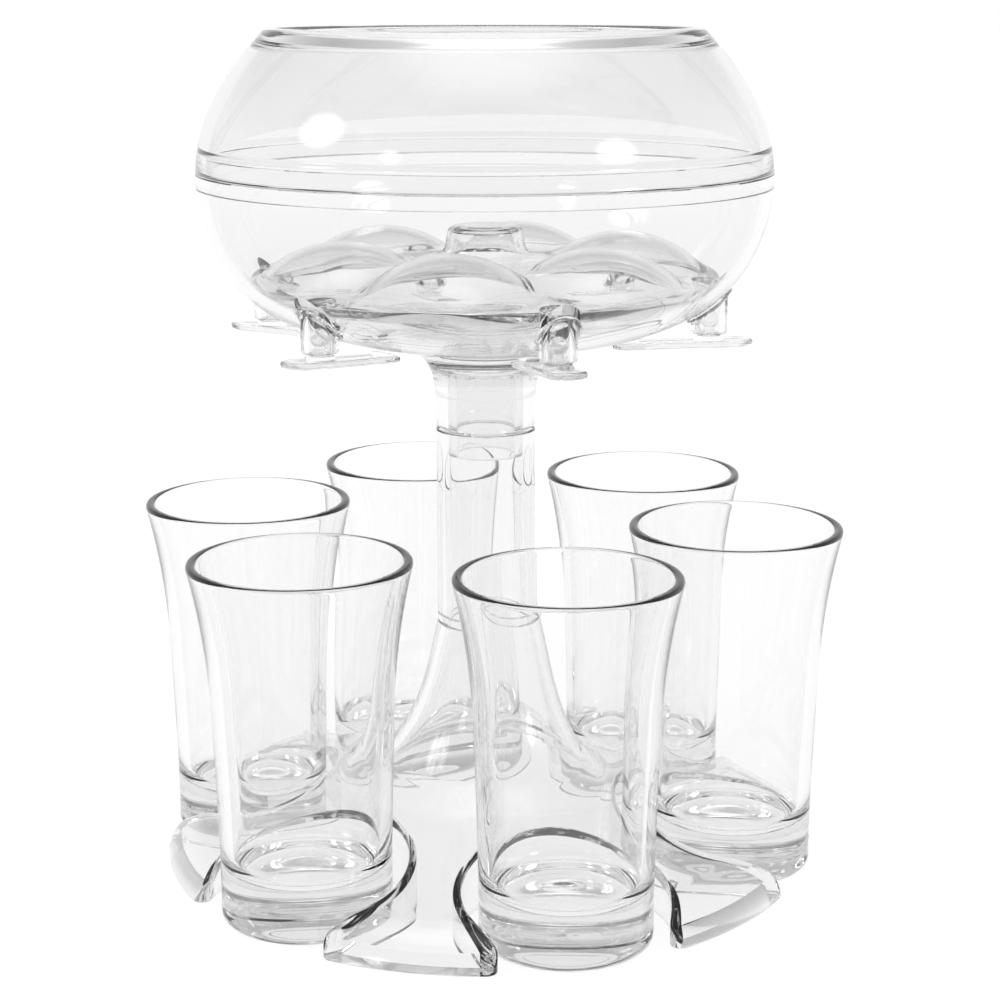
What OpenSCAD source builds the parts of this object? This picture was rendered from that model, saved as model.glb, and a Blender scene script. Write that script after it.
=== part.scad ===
/* [Glasses] */
// How many glasses, spouts and stoppers go round the dispenser
glass_count = 6; // [4:1:6]
// Distance from the axis of the dispenser to the axis of each glass
ring_r = 54.1; // [52:0.5:58]
// Height of a glass
glass_h = 74.7; // [66:0.5:82]
// Radius of a glass at its rim
glass_rim_r = 22.5; // [20:0.25:24]
// Radius of a glass at its waist, just above the heavy bottom
glass_waist_r = 17.9; // [16:0.1:18.5]
// Radius of the foot of a glass
glass_foot_r = 17.6; // [16:0.1:18.5]
// Wall of a glass at its rim
glass_rim_wall = 2; // [1.4:0.1:2.3]
// Wall of a glass above its heavy bottom
glass_wall = 2.3; // [1.8:0.1:3]
// Thickness of the heavy bottom of a glass
glass_bottom = 10; // [6:0.5:14]
// Depth of the hollow under the foot of a glass
glass_punt = 1.2; // [0.6:0.1:2]

/* [Base] */
// Radius of the six-petal base on the table
base_r = 70.5; // [68:0.5:76]
// Height of the petals where they run into the foot of the column
petal_h = 16.8; // [14:0.2:20]
// Height of the petals where they start to roll over to the rim
petal_edge_h = 8.6; // [7:0.2:11]
// Gap between the foot of a glass and the recess that it stands in
recess_gap = 3.4; // [2.5:0.1:4]
// Thickness of the moulded shell of the base
base_wall = 2.4; // [1.8:0.1:3]
// Radius that rounds the corners of the petals, seen from above
petal_corner_r = 2; // [1:0.25:3]
// Height at which the flared foot ends and the column tube starts
foot_h = 50.5; // [46:0.5:56]

/* [Column] */
// Outer radius of the column
column_r = 10.6; // [10:0.1:12]
// Wall of the column and of the stem of the bowl
column_wall = 2.6; // [2.2:0.1:3]
// Height of the top of the column, where the bowl stands on it
column_top = 93.3; // [88:0.5:98]
// Height of the lap joint between the foot and the column
lap_h = 1.6; // [1:0.1:3]
// Wall of the connector sleeve
sleeve_wall = 1.7; // [1.2:0.1:2]
// How far the connector sleeve reaches down into the column
sleeve_down = 5.5; // [4:0.5:12]
// How far the connector sleeve reaches up into the stem of the bowl
sleeve_up = 14; // [8:0.5:15]

/* [Bowl] */
// Height of the bowl above the column
bowl_h = 83.6; // [80:0.5:90]
// Height of the underside of the bowl above the column
under_h = 18.5; // [18:0.25:20]
// Height of the widest place of the bowl above the column
belly_h = 53; // [52:0.5:56]
// Largest radius of the bowl
bowl_r = 59.9; // [59:0.25:64]
// Outer radius of the mouth
mouth_r = 44.9; // [42:0.5:48]
// Wall of the bowl
bowl_wall = 2.3; // [2:0.1:2.6]
// Height of the lap joint between the two shells of the bowl
bowl_lap_h = 3.4; // [2:0.2:5]
// How far the band behind that joint stands into the bowl
band_t = 0.5; // [0.3:0.1:1]
// Height of that band below the joint
band_h = 2.9; // [2:0.2:4]
// Height of the thicker lip round the mouth
lip_h = 3; // [2:0.25:4]

/* [Flow divider] */
// Thickness of the flow divider
divider_wall = 1.6; // [1.2:0.1:2]
// Height of the rim of the divider above the underside of the bowl
divider_rim_h = 13.8; // [13.8:0.2:15]
// Rise of the floor of the divider from its rim to its middle
divider_rise = 4.9; // [3:0.1:7]
// Radius of the raised middle of the divider
boss_r = 8; // [6:0.5:9]
// Height of the raised middle above the floor round it
boss_h = 6; // [4:0.5:8]
// Radius of each round lobe between two channels
lobe_r = 24.3; // [23.5:0.1:25]
// Height of a lobe above the rim of the divider
lobe_h = 8.4; // [7:0.2:10]
// Distance from the axis of the dispenser to the middle of a lobe
lobe_ring_r = 30.8; // [30:0.2:31]

/* [Spouts and stoppers] */
// Distance from the axis of the dispenser to the axis of each spout
spout_ring_r = 47.5; // [47:0.1:47.8]
// Outer radius of a spout
spout_r = 3.75; // [3.5:0.05:3.9]
// Radius of the bore of a spout
spout_bore_r = 2.2; // [2:0.05:2.4]
// Height of the lower end of a spout above the underside of the bowl
spout_drop = 3.5; // [3:0.1:4.5]
// How far the collar of a spout stands out past it
collar_w = 0.9; // [0.6:0.1:1.1]
// Thickness of that collar, against the bowl
collar_t = 0.7; // [0.5:0.1:1]
// Length of the strap of a stopper
strap_l = 29.5; // [28:0.5:32]
// Width of the strap
strap_w = 8; // [7:0.5:9]
// Thickness of the strap
strap_t = 1.4; // [1:0.1:1.6]
// Gap between the lower end of a spout and the strap, which the seat of the plug fills
strap_gap = 1.3; // [1.2:0.1:2]
// Tilt of the strap, up towards its outer end, in degrees
strap_tilt = 3.7; // [3:0.1:4.5]
// Length of the tab that sticks out past the spout
tab_l = 9; // [7:0.5:10]
// Radius of the ball that closes the bore of the spout
plug_r = 1.9; // [1.7:0.05:1.95]
// Height of the middle of that ball above the lower end of the spout
plug_h = 3.1; // [2.5:0.1:3.5]
// Radius of the anchor button at the inner end of the strap
button_r = 2.4; // [2:0.1:3]

/* [Hidden] */

step_a = 360 / glass_count;
half_a = step_a / 2;
// Fit of the connector sleeve in the column and in the stem
fit = 0.07;
// Gap between pieces that stand or lie on each other
seat = 0.05;
// Gap between the flow divider and the wall of the bowl
divider_gap = 0.2;
// Gap between a soft stopper and what it closes or leans on
soft_gap = 0.3;
// Height of the straight part of the stem of the bowl
neck_h = 7.7;
// Thickness of the solid floor of the bowl above the bore of the stem
stem_cap = 2.8;
// Width of a small eased edge
ease = 0.6;
eps = 0.01;
$fn = 96;

column_bore_r = column_r - column_wall;
recess_r = glass_foot_r + recess_gap;
hub_skirt_r = ring_r - recess_r - 0.2;
neck_z = column_top + neck_h;
under_z = column_top + under_h;
belly_z = column_top + belly_h;
mouth_z = column_top + bowl_h;
lap_z = belly_z + 1.7;
rim_z = under_z + divider_rim_h;
spout_end_z = under_z + spout_drop;

clear_plastic = [0.86, 0.9, 0.92, 0.45];
clear_glass = [0.9, 0.93, 0.93, 0.5];
silicone = [0.93, 0.93, 0.9, 0.9];

// ---------------------------------------------------------------- outlines

// Points of a cubic curve from a to d, steered by b and c, without its last point
function curve(a, b, c, d, steps = 8) = [
    for (i = [0 : steps - 1])
        let (t = i / steps, s = 1 - t)
        s * s * s * a + 3 * s * s * t * b + 3 * s * t * t * c + t * t * t * d
];

function unit(v) = v / norm(v);

// Direction of an open outline at point i
function along(pts, i) = unit(pts[min(i + 1, len(pts) - 1)] - pts[max(i - 1, 0)]);

// The same outline, moved by t to the left of its direction
function beside(pts, t) = [
    for (i = [0 : len(pts) - 1])
        let (d = along(pts, i))
        pts[i] + t * [-d[1], d[0]]
];

function reversed(pts) = [for (i = [len(pts) - 1 : -1 : 0]) pts[i]];

// Height of an outline of rising radius, at radius r
function height_at(pts, r, i = 0) =
    pts[i + 1][0] >= r || i + 2 >= len(pts)
        ? pts[i][1] + (pts[i + 1][1] - pts[i][1]) * (r - pts[i][0]) / (pts[i + 1][0] - pts[i][0])
        : height_at(pts, r, i + 1);

// Outside of the base: down the flared foot, along a petal and over to the rim
foot_bend = [column_r + 12.2, petal_h + 3.4];
petal_start = [column_r + 20.4, petal_h - 1.4];
petal_end = [base_r - 10, petal_edge_h];
base_line = concat(
    curve([column_r, foot_h], [column_r + 2.4, foot_h - 10.5],
          [column_r + 3.6, petal_h + 13.6], foot_bend, 9),
    curve(foot_bend, foot_bend + [4.2, -2.6], petal_start - [3, -0.7], petal_start, 4),
    curve(petal_start, petal_start + [10, -2.4], petal_end - [8, -1.1], petal_end, 4),
    curve(petal_end, petal_end + [5, -0.7], [base_r - 1, 3.8], [base_r, 0.8], 5),
    [[base_r, 0.8], [base_r - 0.2, 0]]);

// Outside of the bowl, from the stem to the mouth
under_in = [20, under_z];
under_out = [bowl_r - 9.5, under_z + 11.2];
belly = [bowl_r, belly_z];
lower_line = concat(
    curve([column_r + 0.3, neck_z], [column_r + 0.3, neck_z + 6],
          [column_r + 2.9, under_z - 1.2], under_in, 8),
    curve(under_in, under_in + [12, 1.6], under_out - [6.4, 6.2], under_out, 9),
    curve(under_out, under_out + [4, 3.9], belly - [0, 11], belly, 10));
floor_line = concat([[0, under_z - 0.3], [8, under_z - 0.3], [14, under_z - 0.2]],
    [for (p = lower_line) if (p[0] >= under_in[0]) p], [belly, [bowl_r, lap_z + bowl_lap_h]]);
floor_inside = [for (p = beside(floor_line, bowl_wall)) [max(p[0], 0), p[1]]];
upper_line = concat(
    curve(belly, belly + [0, 12], [mouth_r + 9.1, mouth_z - 9.9], [mouth_r, mouth_z], 14),
    [[mouth_r, mouth_z]]);

// ---------------------------------------------------------------- helpers

// Places its children at every glass, spout or lobe, turned by turn
module around(turn = 0) {
    for (k = [0 : glass_count - 1]) rotate([0, 0, k * step_a + turn]) children();
}

// Everything between the axis and an outline, closed at its first and last heights
module turned_solid(line) {
    rotate_extrude() polygon(concat([[0, line[0][1]]], line, [[0, line[len(line) - 1][1]]]));
}

module tube(r_out, r_in, h) {
    difference() {
        cylinder(r = r_out, h = h);
        translate([0, 0, -eps]) cylinder(r = r_in, h = h + 2 * eps);
    }
}

// ---------------------------------------------------------------- base and column

// Angle between the axis of a glass and a point at radius a that lies b from that axis
function seen_angle(a, b) = acos((a * a + ring_r * ring_r - b * b) / (2 * a * ring_r));

// Cuts one sharp corner of a petal down to a round one, whose arc crosses the rim and the
// recess at a small angle
module corner_cut() {
    cross = 0.06;
    mid_r = base_r - petal_corner_r + cross;
    round_a = seen_angle(mid_r, recess_r + petal_corner_r - cross);
    sharp_a = seen_angle(base_r, recess_r);
    mid = mid_r * [sin(round_a), -cos(round_a)];
    on_rim = (base_r + 1) * [sin(round_a), -cos(round_a)];
    to_glass = unit([0, -ring_r] - mid);
    on_recess = mid + (petal_corner_r + 1) * to_glass;
    far = (base_r + 3) * [sin(sharp_a - 2), -cos(sharp_a - 2)];
    translate([0, 0, -1]) difference() {
        linear_extrude(petal_h) polygon([mid, on_recess, far, on_rim]);
        translate([mid[0], mid[1], -eps]) cylinder(r = petal_corner_r, h = petal_h + 2 * eps);
    }
}

module base() {
    inside = concat([for (p = beside(base_line, -base_wall)) if (p[1] > base_wall) p],
                    [[base_r - base_wall - 0.6, -1]]);
    color(clear_plastic) difference() {
        union() {
            turned_solid(base_line);
            translate([0, 0, foot_h - eps])
                cylinder(r = column_r - column_wall / 2 - seat, h = lap_h);
        }
        // The recesses that the glasses stand in, right through to the table
        around() translate([0, -ring_r, -1]) cylinder(r = recess_r, h = foot_h);
        around() corner_cut();
        around() mirror([1, 0, 0]) corner_cut();
        // The open underside of the petals, and of the hub inside its skirt
        difference() {
            turned_solid(inside);
            around() translate([0, -ring_r, -2])
                cylinder(r = recess_r + base_wall, h = foot_h);
            translate([0, 0, -2]) tube(hub_skirt_r, hub_skirt_r - base_wall, foot_h);
        }
        translate([0, 0, petal_h]) cylinder(r = column_bore_r, h = foot_h);
    }
}

module column() {
    color(clear_plastic) difference() {
        translate([0, 0, foot_h + seat]) tube(column_r, column_bore_r, column_top - foot_h - seat);
        translate([0, 0, foot_h - 1])
            cylinder(r = column_r - column_wall / 2 + seat, h = lap_h + 1 + 2 * seat);
    }
}

module connector_sleeve() {
    out = column_bore_r - fit;
    color(clear_plastic) translate([0, 0, column_top - sleeve_down]) rotate_extrude()
        polygon([
            [out - sleeve_wall, 0], [out - 0.5, 0], [out, 0.5],
            [out, sleeve_down + sleeve_up - 0.5], [out - 0.5, sleeve_down + sleeve_up],
            [out - sleeve_wall, sleeve_down + sleeve_up]
        ]);
}

// ---------------------------------------------------------------- bowl

module bowl_lower() {
    tongue = bowl_wall / 2;
    band_r = bowl_r - bowl_wall - band_t;
    color(clear_plastic) difference() {
        union() {
            // Stem, with the bore that the connector sleeve fills
            translate([0, 0, column_top + seat])
                tube(column_r, column_bore_r, neck_z - column_top);
            rotate_extrude() polygon(concat(
                [[column_bore_r, neck_z - 1], [column_r, neck_z - 1]], lower_line,
                [belly, [bowl_r, lap_z], [bowl_r - tongue, lap_z],
                 [bowl_r - tongue, lap_z + bowl_lap_h], [band_r, lap_z + bowl_lap_h],
                 [band_r, lap_z - band_h], [bowl_r - bowl_wall - 0.05, lap_z - band_h]],
                reversed([for (p = floor_inside) if (p[1] < lap_z - band_h) p]),
                [[0, under_z - stem_cap], [column_bore_r, under_z - stem_cap]]));
        }
        around() translate([0, -spout_ring_r, under_z]) cylinder(r = spout_r + seat, h = 30);
    }
}

module bowl_upper() {
    inner = beside(upper_line, bowl_wall);
    tongue = bowl_wall / 2 - seat;
    lip_in = mouth_r - bowl_wall - 1;
    color(clear_plastic) rotate_extrude() polygon(concat(
        [[bowl_r, lap_z + seat]],
        [for (p = upper_line) if (p[1] > lap_z + ease && p[1] < mouth_z - ease) p],
        [[mouth_r, mouth_z - ease], [mouth_r - ease, mouth_z], [lip_in + ease, mouth_z],
         [lip_in, mouth_z - ease], [lip_in, mouth_z - lip_h + ease]],
        reversed([for (p = inner)
            if (p[1] > lap_z + bowl_lap_h + 1 && p[1] < mouth_z - lip_h - ease) p]),
        [[bowl_r - bowl_wall, lap_z + bowl_lap_h + seat], [bowl_r - tongue, lap_z + bowl_lap_h + seat],
         [bowl_r - tongue, lap_z + seat]]));
}

// Top of the divider from its middle to past its rim, without the lobes
rim_r = bowl_r - 7.9;
divider_line = concat(
    [[0, rim_z + divider_rise + boss_h], [boss_r - 1.5, rim_z + divider_rise + boss_h - 0.2],
     [boss_r, rim_z + divider_rise + boss_h - 1.6]],
    curve([boss_r + 0.4, rim_z + divider_rise + 1.5], [boss_r + 1, rim_z + divider_rise],
          [rim_r - 16, rim_z + 0.6], [rim_r, rim_z], 6),
    [[rim_r, rim_z]]);

module lobes(shrink = 0) {
    around(half_a) translate([0, -lobe_ring_r, rim_z + lobe_h - lobe_r])
        sphere(r = lobe_r - shrink);
}

// All that lies above the floor of the divider, or above a surface that far below it
module above_floor(down) {
    low = [for (p = beside(divider_line, -down)) [max(p[0], 0), p[1]]];
    rotate_extrude() polygon(concat(low, [[rim_r, rim_z + 30], [0, rim_z + 30]]));
}

module flow_divider() {
    bowl_side = [for (p = beside(floor_line, bowl_wall + divider_gap)) [max(p[0], 0), p[1]]];
    color(clear_plastic) difference() {
        intersection() {
            union() {
                difference() {
                    above_floor(divider_wall);
                    above_floor(0);
                }
                intersection() {
                    lobes();
                    above_floor(divider_wall / 2);
                }
            }
            // Room inside the bowl
            rotate_extrude() polygon(concat(
                [for (p = bowl_side) if (p[1] < lap_z) p], [[0, lap_z]]));
        }
        intersection() {
            lobes(divider_wall);
            rotate_extrude() polygon([[boss_r + 2.4, under_z], [rim_r - 4, under_z],
                                      [rim_r - 4, rim_z + 30], [boss_r + 2.4, rim_z + 30]]);
        }
        around() translate([0, -spout_ring_r, under_z]) cylinder(r = spout_r + seat, h = 30);
    }
}

// ---------------------------------------------------------------- spouts and stoppers

// All the room under the bowl that keeps a gap from it
module under_bowl(gap) {
    line = [for (p = beside(floor_line, -gap)) [max(p[0], 0), p[1]]];
    rotate_extrude() polygon(concat(line, [[bowl_r + 5, lap_z + bowl_lap_h], [bowl_r + 5, 0], [0, 0]]));
}

module spout() {
    z = spout_end_z;
    top = height_at(divider_line, spout_ring_r) - 0.4;
    color(clear_plastic) translate([0, -spout_ring_r, 0]) difference() {
        union() {
            translate([0, 0, z]) rotate_extrude() polygon([
                [0, 0], [spout_r - 0.6, 0], [spout_r - 0.15, 0.25], [spout_r, 0.8],
                [spout_r, top - z], [0, top - z]]);
            // Oblique collar that lies against the bowl
            intersection() {
                translate([0, 0, z]) cylinder(r = spout_r + collar_w, h = top - z);
                translate([0, spout_ring_r, 0]) difference() {
                    under_bowl(seat);
                    under_bowl(seat + collar_t);
                }
            }
        }
        translate([0, 0, z - 1]) cylinder(r = spout_bore_r, h = top - z + 2);
    }
}

// Half of the outline of the ball plug, from its seat under the spout to the top of the ball
function plug_outline() =
    let (neck_r = 0.58 * plug_r, from = asin(neck_r / plug_r))
    concat(
        [[0, -strap_gap - strap_t / 2], [3, -strap_gap - strap_t / 2], [2.7, -soft_gap],
         [spout_bore_r - 0.5, -soft_gap], [neck_r, 0.5]],
        [for (i = [0 : 8])
            let (a = from + (180 - from) * i / 9)
            [plug_r * sin(a), plug_h - plug_r * cos(a)]],
        [[0, plug_h + plug_r]]);

module stopper() {
    top_z = spout_end_z - strap_gap;
    out_l = tab_l - strap_w / 2;
    in_l = strap_l - tab_l - strap_w / 2;
    button_at = spout_ring_r - in_l - 0.6;
    slope = atan(height_at(floor_line, button_at + 1) - height_at(floor_line, button_at));
    color(silicone) translate([0, -spout_ring_r, 0]) union() {
        // Strap: a flat bar with round ends, seen from above
        translate([0, 0, top_z]) rotate([-strap_tilt, 0, 0]) translate([0, 0, -strap_t]) union() {
            translate([-strap_w / 2, -out_l, 0]) cube([strap_w, out_l + in_l, strap_t]);
            translate([0, -out_l, 0]) cylinder(r = strap_w / 2, h = strap_t);
            translate([0, in_l, 0]) cylinder(r = strap_w / 2, h = strap_t);
        }
        translate([0, 0, spout_end_z]) rotate_extrude() polygon(plug_outline());
        // Anchor button, square to the underside of the bowl
        translate([0, spout_ring_r - button_at, height_at(floor_line, button_at) - soft_gap])
            rotate([-slope, 0, 0]) translate([0, 0, -1.2]) cylinder(r = button_r, h = 1.2);
    }
}

// ---------------------------------------------------------------- glasses

module glass() {
    knee = 0.16 * glass_h;
    mid = 0.62 * glass_h;
    outside = concat(
        curve([glass_foot_r - 1.4, 0], [glass_foot_r - 0.5, 0],
              [glass_foot_r, 0.5], [glass_foot_r, 1.6], 4),
        curve([glass_foot_r, 1.6], [glass_foot_r - 0.2, knee],
              [glass_waist_r - 0.1, 0.35 * glass_h], [glass_waist_r + 0.6, mid], 8),
        curve([glass_waist_r + 0.6, mid], [glass_waist_r + 1.2, 0.76 * glass_h],
              [glass_rim_r - 1.9, 0.88 * glass_h], [glass_rim_r, glass_h - 0.7], 8),
        [[glass_rim_r, glass_h - 0.7], [glass_rim_r - 0.4, glass_h]]);
    inside = concat(
        [[glass_rim_r - glass_rim_wall + 0.4, glass_h], [glass_rim_r - glass_rim_wall, glass_h - 0.7]],
        curve([glass_rim_r - glass_rim_wall - 0.2, glass_h - 1.6],
              [glass_rim_r - glass_wall - 1.7, 0.88 * glass_h],
              [glass_waist_r - glass_wall + 1, 0.76 * glass_h],
              [glass_waist_r - glass_wall + 0.4, mid], 8),
        curve([glass_waist_r - glass_wall + 0.4, mid], [glass_waist_r - glass_wall - 0.3, 0.35 * glass_h],
              [glass_waist_r - glass_wall - 0.5, 0.3 * glass_h],
              [glass_waist_r - glass_wall - 0.6, glass_bottom + 5], 5),
        curve([glass_waist_r - glass_wall - 0.6, glass_bottom + 5],
              [glass_waist_r - glass_wall - 0.8, glass_bottom + 1.4],
              [glass_waist_r - glass_wall - 2.4, glass_bottom],
              [glass_waist_r - glass_wall - 6, glass_bottom], 5),
        [[0, glass_bottom]]);
    under = [[0, glass_punt], [glass_foot_r - 7.6, glass_punt],
             [glass_foot_r - 4.4, glass_punt * 0.6], [glass_foot_r - 3.6, 0]];
    color(clear_glass) translate([0, -ring_r, 0])
        rotate_extrude() polygon(concat(outside, inside, under));
}

// ---------------------------------------------------------------- assembly

base();
column();
connector_sleeve();
bowl_lower();
bowl_upper();
flow_divider();
for (k = [1 : glass_count]) rotate([0, 0, (k - 1) * step_a]) {
    spout();
    stopper();
    glass();
}
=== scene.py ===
"""Looks of a clear table-top shot dispenser: petal base, column, bowl, spouts, stoppers and glasses."""

import logging
import math
from dataclasses import dataclass
from enum import Enum

import bmesh
import bpy
import numpy as np
from mathutils import Matrix, Vector

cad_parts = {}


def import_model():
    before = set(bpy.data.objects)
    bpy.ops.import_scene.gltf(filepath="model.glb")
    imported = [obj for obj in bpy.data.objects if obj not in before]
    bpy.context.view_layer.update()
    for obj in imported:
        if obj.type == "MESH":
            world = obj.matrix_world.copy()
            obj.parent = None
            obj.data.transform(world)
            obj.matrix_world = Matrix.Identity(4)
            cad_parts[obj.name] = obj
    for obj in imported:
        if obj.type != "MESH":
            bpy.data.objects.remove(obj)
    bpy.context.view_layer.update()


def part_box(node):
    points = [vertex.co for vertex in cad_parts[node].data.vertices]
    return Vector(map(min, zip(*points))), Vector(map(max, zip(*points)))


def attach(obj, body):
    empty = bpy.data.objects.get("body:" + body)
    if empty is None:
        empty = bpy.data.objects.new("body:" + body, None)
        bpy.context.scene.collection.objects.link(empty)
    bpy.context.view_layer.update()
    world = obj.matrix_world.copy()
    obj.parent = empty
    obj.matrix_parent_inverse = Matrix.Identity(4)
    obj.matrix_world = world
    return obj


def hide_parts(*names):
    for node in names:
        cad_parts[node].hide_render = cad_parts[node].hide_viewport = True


LOG = logging.getLogger("shot_dispenser")
MM = 0.001
COPIES = 6
STEP = math.tau / COPIES
HALF_STEP = STEP / 2
GLASS_RING_R = 54.1  # from the axis to the middle of each recess and glass, in mm
BORE_R = 8.0  # bore of the foot, the column and the stem
LAP_H = 1.6  # height of the lap of the foot and the column
LAP_GAP = 0.05  # room that a lap joint leaves
WELD_PER_MM = 2000  # points closer than one part of this many in a mm become one


class Slot(Enum):
    """Material slots of the record."""

    PLASTIC = "clear_plastic"
    SILICONE = "silicone"
    GLASS = "clear_glass"


# ---------------------------------------------------------------- outlines


def cubic(a: tuple, b: tuple, c: tuple, d: tuple, steps: int) -> np.ndarray:
    """Points of a cubic curve, the sum of four points weighted by the Bernstein cubics of t.

    Args:
        a: First point, (radius, height) in mm.
        b: Point that the curve leaves a towards.
        c: Point that the curve reaches d from.
        d: Last point.
        steps: Number of stretches between the points.

    Returns:
        Array of shape (steps + 1, 2).
    """
    t = np.linspace(0, 1, steps + 1)[:, None]
    s = 1 - t
    a, b, c, d = (np.array(point) for point in (a, b, c, d))
    return s**3 * a + 3 * s**2 * t * b + 3 * s * t**2 * c + t**3 * d


def chain(*lines: np.ndarray) -> np.ndarray:
    """One outline of several, without points that repeat the one before.

    Args:
        lines: Arrays of shape (n, 2), in order.

    Returns:
        Array of shape (m, 2).
    """
    pts = np.vstack([np.atleast_2d(line) for line in lines]).astype(float)
    keep = np.r_[True, np.linalg.norm(np.diff(pts, axis=0), axis=1) > 1e-5]
    return pts[keep]


def beside(line: np.ndarray, gap: float) -> np.ndarray:
    """The same outline moved by gap to the left of its own direction at each point.

    Args:
        line: Array of shape (n, 2).
        gap: Distance in mm, negative for the right side.

    Returns:
        Array of shape (n, 2).
    """
    way = np.gradient(line, axis=0)
    way /= np.linalg.norm(way, axis=1)[:, None]
    return line + gap * np.c_[-way[:, 1], way[:, 0]]


def eased(corners: list[tuple[float, float, float]], steps: int = 5) -> np.ndarray:
    """Closed outline through corners, each cut short by its ease and joined by a parabola.

    Args:
        corners: (radius, height, ease) of each corner, in mm.
        steps: Stretches in each rounded corner.

    Returns:
        Array of shape (n, 2), without a repeated last point.
    """
    raw = np.array(corners, float)
    mid, ease = raw[:, :2], raw[:, 2:]
    back, on = np.roll(mid, 1, axis=0) - mid, np.roll(mid, -1, axis=0) - mid
    start = mid + ease * back / np.linalg.norm(back, axis=1)[:, None]
    end = mid + ease * on / np.linalg.norm(on, axis=1)[:, None]
    t = np.linspace(0, 1, steps + 1)[None, :, None]
    arcs = (1 - t) ** 2 * start[:, None] + 2 * t * (1 - t) * mid[:, None] + t**2 * end[:, None]
    return chain(arcs.reshape(-1, 2))


# ---------------------------------------------------------------- meshes


def polar(r: np.ndarray, angle: np.ndarray, z: np.ndarray) -> np.ndarray:
    """Points (r sin a, -r cos a, z), from arrays that spread to one shape."""
    return np.stack(np.broadcast_arrays(r * np.sin(angle), -r * np.cos(angle), z), axis=-1)


def turned(outline: np.ndarray, angles: np.ndarray) -> np.ndarray:
    """Grid of a turned surface, a row for each outline point and a column for each angle.

    Args:
        outline: Array of shape (n, 2), radius and height in mm.
        angles: Array of shape (m,), in radians from -Y towards +X.

    Returns:
        Array of shape (n, m, 3).
    """
    return polar(outline[:, :1], angles, outline[:, 1:])


def full_circle(segments: int) -> np.ndarray:
    """Angles of one whole turn, in radians, without the last."""
    return np.arange(segments) * math.tau / segments


class Skin:
    """Gathers grids of points into one welded mesh of quads and triangles."""

    def __init__(self) -> None:
        """Starts with no points and no faces."""
        self.points: list[np.ndarray] = []
        self.quads: list[np.ndarray] = []
        self.count = 0

    def grid(self, points: np.ndarray, close_rows: bool = False, close_columns: bool = False) -> "Skin":
        """Adds a grid, with a quad between each four neighbours.

        Args:
            points: Array of shape (rows, columns, 3) in mm.
            close_rows: Joins the last row to the first.
            close_columns: Joins the last column to the first.

        Returns:
            The skin itself.
        """
        rows, columns = points.shape[:2]
        index = self.count + np.arange(rows * columns).reshape(rows, columns)
        if close_rows:
            index = np.vstack([index, index[:1]])
        if close_columns:
            index = np.hstack([index, index[:, :1]])
        corners = [index[:-1, :-1], index[1:, :-1], index[1:, 1:], index[:-1, 1:]]
        self.quads.append(np.stack(corners, axis=-1).reshape(-1, 4))
        self.points.append(points.reshape(-1, 3))
        self.count += rows * columns
        return self

    def mesh(self, name: str) -> bpy.types.Mesh:
        """The welded mesh. A quad with two equal corners becomes a triangle, and a thinner one goes.

        Args:
            name: Name of the mesh.

        Returns:
            A new mesh in metres, its faces turned outwards.
        """
        points, quads = np.vstack(self.points), np.vstack(self.quads)
        places = np.round(points * WELD_PER_MM).astype(np.int64)
        _, first, same = np.unique(places, axis=0, return_index=True, return_inverse=True)
        quads = same.reshape(-1)[quads]
        equal = quads == np.roll(quads, -1, axis=1)
        whole = quads[~equal.any(axis=1)]
        whole = whole[(whole[:, 0] != whole[:, 2]) & (whole[:, 1] != whole[:, 3])]
        pinched = quads[equal.sum(axis=1) == 1]
        gone = equal[equal.sum(axis=1) == 1].argmax(axis=1)
        thirds = np.take_along_axis(pinched, (gone[:, None] + np.arange(1, 4)) % 4, axis=1)
        mesh = bpy.data.meshes.new(name)
        mesh.from_pydata((points[first] * MM).tolist(), [], whole.tolist() + thirds.tolist())
        return mesh


def outwards(mesh: bpy.types.Mesh, fill_flat: bool = False) -> bpy.types.Mesh:
    """Turns the faces of a closed mesh outwards, after filling its flat open rims if asked.

    Args:
        mesh: The mesh to mend.
        fill_flat: Fills the region that the open edges bound in one plane.

    Returns:
        The same mesh.
    """
    work = bmesh.new()
    work.from_mesh(mesh)
    if fill_flat:
        rims = [edge for edge in work.edges if edge.is_boundary]
        bmesh.ops.triangle_fill(work, edges=rims, use_beauty=True, normal=(0, 0, -1))
    bmesh.ops.recalc_face_normals(work, faces=work.faces)
    work.to_mesh(mesh)
    work.free()
    return mesh


def linked(name: str, data: bpy.types.ID) -> bpy.types.Object:
    """A new object of a mesh or a camera, linked to the scene.

    Args:
        name: Name of the object.
        data: The mesh or camera.

    Returns:
        The object.
    """
    made = bpy.data.objects.new(name, data)
    bpy.context.scene.collection.objects.link(made)
    return made


def piece(name: str, mesh: bpy.types.Mesh, crease: float = 38) -> bpy.types.Object:
    """A smooth-shaded object of a mesh, with creases kept where faces meet sharply.

    Args:
        name: Name of the object.
        mesh: Its mesh.
        crease: Angle in degrees over which an edge stays sharp.

    Returns:
        The new object, linked to the scene.
    """
    mesh.shade_smooth()
    mesh.set_sharp_from_angle(angle=math.radians(crease))
    made = linked(name, mesh)
    even = made.modifiers.new("even_normals", "WEIGHTED_NORMAL")
    even.keep_sharp = True
    return made


def turned_mesh(name: str, outline: np.ndarray, segments: int = 192, at: tuple = (0, 0)) -> bpy.types.Mesh:
    """Closed turned mesh of a closed outline, or of one that starts and ends on the axis.

    Args:
        name: Name of the mesh.
        outline: Array of shape (n, 2), in mm.
        segments: Columns round the axis.
        at: Place of the axis in x and y, in mm.

    Returns:
        The mesh, its faces outwards.
    """
    points = turned(outline, full_circle(segments)) + np.array([*at, 0])
    on_axis = outline[0, 0] < 1e-6 and outline[-1, 0] < 1e-6
    return outwards(Skin().grid(points, not on_axis, True).mesh(name))


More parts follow.
